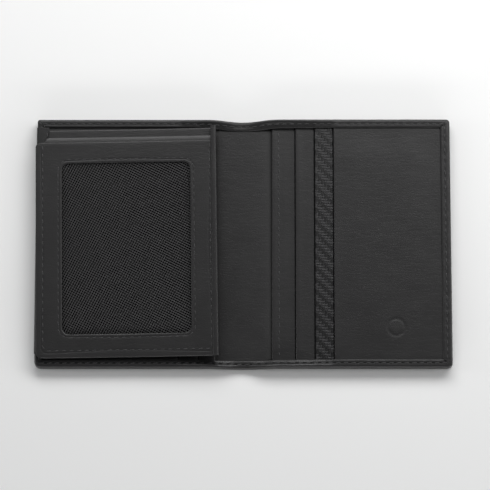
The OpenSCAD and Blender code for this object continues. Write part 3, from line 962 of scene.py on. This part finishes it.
for node, name in (("left_pocket_lining_1", "left_lining_rear"),
                   ("left_pocket_lining_2", "left_lining_front"), ("pocket_lining_1", "lining_rear"),
                   ("pocket_lining_2", "lining_middle"), ("pocket_lining_3", "lining_front")):
    lining(node, name, "left_panel" if node.startswith("left") else "right_panel")


def base_edge_thread():
    """The sewing along the spine-side edge of the right panel's first sheet."""
    x0, x1, y0, y1, z0, _ = layer("base_edge_stitching")
    line = [((x0 + x1) / 2, y1), ((x0 + x1) / 2, y0)]
    piece("base_edge_thread", stitches(line, flat(z0 - 0.04), seed=5), THREAD, "right_panel",
          replaces=("base_edge_stitching",))


base_edge_thread()

# ---- the identity leaf

BACK_Z, LIP_TOP = layer("flap_back_panel")[4:]
POCKET_Z0, POCKET_Z1 = layer("flap_inner_pocket")[4:]
BACK_TOP = BACK_Z + (POCKET_Z0 - BACK_Z - 0.04)
NET_Z = sum(layer("window_mesh")[4:]) / 2
FRAME_Z0, FRAME_Z1 = layer("window_frame")[4:]
HINGE_INSET = 0.8


def leaf_sheet(name, node, x0, x1, y0, y1, z0, z1, radii, seed, turned=0.0):
    """One of the leaf's rear sheets. turned is how wide its top edge, folded over, slopes down."""
    def wave(x, y):
        slope = np.clip((y - (y1 - turned)) / max(turned, 1e-6), 0, 1) ** 2 * (turned > 0)
        drape = np.clip((y - (y1 - 9)) / 9, 0, 1) ** 2
        return 0.03 * ripple(x, y, 12.0, seed) - 0.34 * slope - (0.20 if turned else 0.10) * drape

    shape = slab(x0, x1, y0, y1, *shifted(z1, z0, wave), radii, edge=0.5)
    piece(name, on_leaf(shape), POCKET_LEATHER, "id_flap", replaces=(node,))


leaf_sheet("leaf_back", "flap_back_panel", LEAF_X0 + HINGE_INSET, LEAF_X1 - 0.6, LEAF_Y0 + 0.1, LEAF_Y1 - 0.6,
           BACK_Z, BACK_TOP, (2.5, 0.3, 0.3, 0.6), 51)
leaf_sheet("leaf_pocket", "flap_inner_pocket", LEAF_X0 + HINGE_INSET, LEAF_X1 - SHEET_INSET, LEAF_Y0 + 0.4,
           INNER_POCKET_TOP, POCKET_Z0, POCKET_Z1, (2.0, 0, 0, 0.3), 52, turned=1.7)


def leaf_binding():
    """The back sheet's free edge, turned up and over the sheets above it."""
    x1, x0 = LEAF_X1, LEAF_X1 - BINDING_W
    inner_x = x1 - 0.58
    profile = [(x0, BACK_Z), (x1 - 0.5, BACK_Z), (x1 - 0.2, BACK_Z + 0.08), (x1 - 0.03, BACK_Z + 0.3),
               (x1, (BACK_Z + LIP_TOP) / 2), (x1 - 0.02, LIP_TOP - 0.55), (x1 - 0.12, LIP_TOP - 0.25),
               (x1 - 0.32, LIP_TOP - 0.07), (x1 - 0.6, LIP_TOP), (x1 - 1.2, LIP_TOP - 0.01),
               (x0 + 0.35, LIP_TOP - 0.05), (x0 + 0.1, LIP_TOP - 0.12), (x0, LIP_TOP - 0.25),
               (x0, FRAME_Z1 + 0.01), (inner_x, FRAME_Z1 + 0.01), (inner_x, BACK_TOP + 0.01),
               (x0, BACK_TOP + 0.01)]
    ys = stations(LEAF_Y0, LEAF_Y1, 1.2, 0.3)

    def shift(y):
        return 0.03 * float(value_noise(np.array(y / 6.0), np.array(0.0), 61)), 0.0

    points, faces, _ = band(profile, ys, shift)
    # near_edge lightens the binding's rolled outer face: rubbing and painted highlight
    edge = np.tile([0.0] * 2 + [0.5] * 8 + [0.2] * 3 + [0.0] * (len(profile) - 13), len(ys))
    tidy_normals(piece("leaf_binding", on_leaf((points, faces, edge)), POCKET_LEATHER, "id_flap",
                       replaces=("flap_back_panel",)))


leaf_binding()


def frame_surface(x, y):
    return FRAME_Z1 + 0.04 * ripple(x, y, 11.0, 71)


def round_window(margin):
    """The sides of a rectangle this much larger than the window all round."""
    return WINDOW[0] - margin, WINDOW[1] + margin, WINDOW[2] - margin, WINDOW[3] + margin


def window_frame():
    """The leaf's front sheet, with the window cut out and a painted highlight along its front edge."""
    counts = 56, 72, 8
    outer = rounded_loop(LEAF_X0, LEAF_X1 - SHEET_INSET, LEAF_Y0, FRAME_TOP, (2.5, 0.3, 0.3, 2.0), *counts)
    inner = rounded_loop(*WINDOW, (WINDOW_R,) * 4, *counts)
    points, faces, edge = ring(outer, inner, frame_surface,
                               lambda x, y: frame_surface(x, y) - (FRAME_Z1 - FRAME_Z0),
                               grooves=(OUTER_ROW, -WINDOW_ROW), edge=0.55,
                               sewn=smooth(FRAME_TOP - 0.2, FRAME_TOP - 1.5, outer[:, 1]))
    # painted highlight: edge lightening made much stronger along the front edge
    edge = np.where(points[:, 1] < LEAF_Y0 + 1, 2.6 * edge, edge)
    tidy_normals(piece("window_frame_leather", on_leaf((points, faces, edge)), POCKET_LEATHER, "id_flap",
                       replaces=("window_frame",)))


window_frame()


def leaf_threads():
    """The sewing round the leaf and round its window."""
    x0, x1, y0 = LEAF_X0 + OUTER_ROW, LEAF_X1 - BINDING_W - 0.45, LEAF_Y0 + OUTER_ROW
    top = FRAME_TOP - 0.8
    around = [(x0, top), (x0, y0 + 2), (x0 + 0.6, y0 + 0.6), (x0 + 2, y0), (x1, y0), (x1, top)]
    loop = rounded_loop(*round_window(WINDOW_ROW), (WINDOW_R + WINDOW_ROW,) * 4, 30, 40, 6)

    def surface(x, y):
        return frame_surface(x, y) - 0.08

    piece("leaf_edge_thread", on_leaf(stitches(around, surface, seed=7)), THREAD, "id_flap",
          replaces=("flap_edge_stitching",))
    piece("window_thread", on_leaf(stitches(np.concatenate([loop, loop[:1]]), surface, seed=8)), THREAD,
          "id_flap", replaces=("window_stitching",))


leaf_threads()

NET_PITCH = 0.97
NET_TURN = math.radians(-28)
NET_THREAD = 0.135           # half the width of a thread
NET_CHANGE = 18.0            # this far from the middle, one family of threads lies wholly on the other


def window_net():
    """A fine net of real threads on the bias behind the window, woven over and under in the middle; towards
    either side one family of threads comes to lie on the other."""
    x0, x1, y0, y1 = round_window(3.0)
    middle = np.array([(x0 + x1) / 2, (y0 + y1) / 2])
    reach = math.hypot(x1 - x0, y1 - y0) / 2
    lines = int(reach / NET_PITCH) + 1
    points, faces, first = [], [], 0
    thick, weave = 0.075, 0.06
    for direction in (0, 1):
        turn = NET_TURN + direction * math.pi / 2
        way = np.array([math.cos(turn), math.sin(turn)])
        across = np.array([-way[1], way[0]])
        for k in range(-lines, lines + 1):
            base = middle + across * k * NET_PITCH
            low, high = -reach, reach
            for axis, (a, b) in enumerate(((x0, x1), (y0, y1))):
                ends = sorted(((a - base[axis]) / way[axis], (b - base[axis]) / way[axis]))
                low, high = max(low, ends[0]), min(high, ends[1])
            if high - low < 2 * NET_PITCH:
                continue
            half_steps = np.arange(math.ceil(2 * low / NET_PITCH), math.floor(2 * high / NET_PITCH) + 1)
            at = half_steps * NET_PITCH / 2
            crossing = half_steps % 2 == 0
            sign = np.where((half_steps // 2 + k + direction) % 2 == 0, 1.0, -1.0)
            centre = base + np.outer(at, way)
            favour = np.clip((centre[:, 0] - middle[0] + 0.25 * centre[:, 1]) / NET_CHANGE, -1, 1)
            favour = favour * (1 - 2 * direction)
            z = NET_Z + np.where(crossing, sign * weave * (1 - np.abs(favour)), 0.0) + 0.06 * favour
            width = (NET_THREAD + 0.03 * favour)[:, None]
            for side, up in ((1, 0), (0, thick), (-1, 0), (0, -thick)):
                points.append(np.concatenate([centre + across * width * side, (z + up)[:, None]], axis=1))
            n = len(at)
            for j in range(4):
                a, b = first + j * n, first + (j + 1) % 4 * n
                faces += [[a + i, a + i + 1, b + i + 1, b + i] for i in range(n - 1)]
            faces.append([first + j * n for j in range(4)])
            faces.append([first + j * n + n - 1 for j in range(3, -1, -1)])
            first += 4 * n
    points = np.concatenate(points)
    inside = np.minimum(np.minimum(points[:, 0] - WINDOW[0], WINDOW[1] - points[:, 0]),
                        np.minimum(points[:, 1] - WINDOW[2], WINDOW[3] - points[:, 1]))
    # near_edge here carries the painted shade of the frame near the window's border
    shape = (points, faces, np.exp(-np.clip(inside, 0, None) / 1.3))
    made = piece("window_net", on_leaf(shape), NET, "id_flap", replaces=("window_mesh",))
    width, length = (x1 - x0) * MM, (y1 - y0) * MM


window_net()


def shade_sheet_behind_net():
    """A black cloth sheet behind the net, painted shade for the dark slot behind the window."""
    z = POCKET_Z1 + 0.035
    x0, x1, y0, y1 = round_window(2.6)
    shape = slab(x0, x1, y0, y1, flat(z + 0.04), flat(z), edge=0.05, step=2.0)
    made = piece("net_shade_sheet", on_leaf(shape), LINING, "id_flap")


shade_sheet_behind_net()


def hinge_strip():
    """The strip that carries the leaf: from the shell's edge, out round the fold and in over the leaf's
    two rear sheets."""
    t = 0.22
    z_low, z_high = LEFT_EDGE_Z + 0.03, POCKET_Z1 + 0.05
    out_x = X_LEFT - 0.12
    in_x = X_LEFT + 3.3
    mid = (z_low + z_high) / 2 + t / 2
    r = (z_high + t - z_low) / 2
    turn, bore = np.linspace(0, math.pi, 11), r - t
    outer = [(in_x, z_low), *((out_x + r - r * math.sin(a), mid - r * math.cos(a)) for a in turn),
             (in_x, z_high + t)]
    inner = [(in_x, z_high), *((out_x + r - bore * math.sin(a), mid + bore * math.cos(a)) for a in turn),
             (in_x, z_low + t)]
    ys = stations(LEAF_Y0 + 1.5, LEAF_Y1, 1.2, 0.3)
    points, faces, edge = band(outer + inner, ys)
    slanted = (points[:, 2] > z_high - 0.01) & (points[:, 0] > in_x - 0.01)
    points[:, 0] += np.where(slanted, 1.6 * smooth(41, 46.5, points[:, 1]), 0)
    tidy_normals(piece("hinge_strip", (points, faces, edge), POCKET_LEATHER, replaces=("flap_hinge_strip",),
                       bend=("left_panel", "id_flap", (0, 0, (z_low + t) * MM), (0, 0, z_high * MM))))


hinge_strip()


def hinge_thread():
    """The slanted stitches that hold the hinge strip's top end."""
    line = [(-78.2, 46.0), (-79.9, 42.2)]
    piece("hinge_thread", stitches(line, flat(POCKET_Z1 + 0.3), slant=0.5, length=1.6, seed=9), THREAD,
          "id_flap")


hinge_thread()

# ---- CAD nodes that stay

for node, material in (("stiffener_left", BOARD), ("stiffener_right", BOARD), ("spine_interlining", FLEECE),
                       ("shield_film_left", FILM), ("shield_film_right", FILM)):
    kept = frame["nodes"][node]
    kept.data.materials.clear()
    kept.data.materials.append(material)

# ---- floor, light and camera


def floor():
    bpy.ops.mesh.primitive_plane_add(size=6, location=(0, 0, -0.0002))
    made = bpy.context.object
    made.name = "floor"
    pale = Nodes("pale_floor").set(Base_Color=(0.84, 0.84, 0.835, 1), Roughness=0.7, Specular_IOR_Level=0.2)
    made.data.materials.append(pale)


def area_light(name, place, size, power):
    """A rectangular light that points at the middle of the wallet."""
    light = bpy.data.lights.new(name, "AREA")
    light.shape = "RECTANGLE"
    light.size, light.size_y = size
    light.energy = power
    made = linked(name, light)
    made.location = place
    made.rotation_euler = (-Vector(place)).to_track_quat("-Z", "Y").to_euler()


def camera():
    """Almost overhead, from the front edge's side, with a long lens."""
    elevation, distance = math.radians(78), 1250.0
    target = np.array([0.95, -0.15, 0.0])
    mm_per_pixel, pixels, sensor = 0.4034, 490, 36.0
    data = bpy.data.cameras.new("camera")
    data.sensor_width = sensor
    data.lens = distance / mm_per_pixel / pixels * sensor
    made = linked("camera", data)
    back = np.array([0, -math.cos(elevation), math.sin(elevation)])
    made.location = (target + back * distance) * MM
    made.rotation_euler = (math.pi / 2 - elevation, 0, 0)
    bpy.context.scene.camera = made


def light():
    area_light("key", (0.10, 0.37, 0.38), (0.8, 0.26), 3.65)
    area_light("front_strip", (0.0, -0.70, 0.20), (1.5, 0.10), 3.6)
    area_light("left_strip", (-0.80, 0.0, 0.10), (0.10, 0.9), 2.2)
    area_light("right_strip", (0.80, 0.0, 0.10), (0.10, 0.9), 2.5)
    world = bpy.data.worlds.new("studio")
    world.use_nodes = True
    background = world.node_tree.nodes["Background"].inputs
    background["Color"].default_value = (0.8, 0.82, 0.85, 1)
    background["Strength"].default_value = 0.14
    bpy.context.scene.world = world
    bpy.context.scene.view_settings.view_transform = "Standard"


floor()
light()
camera()
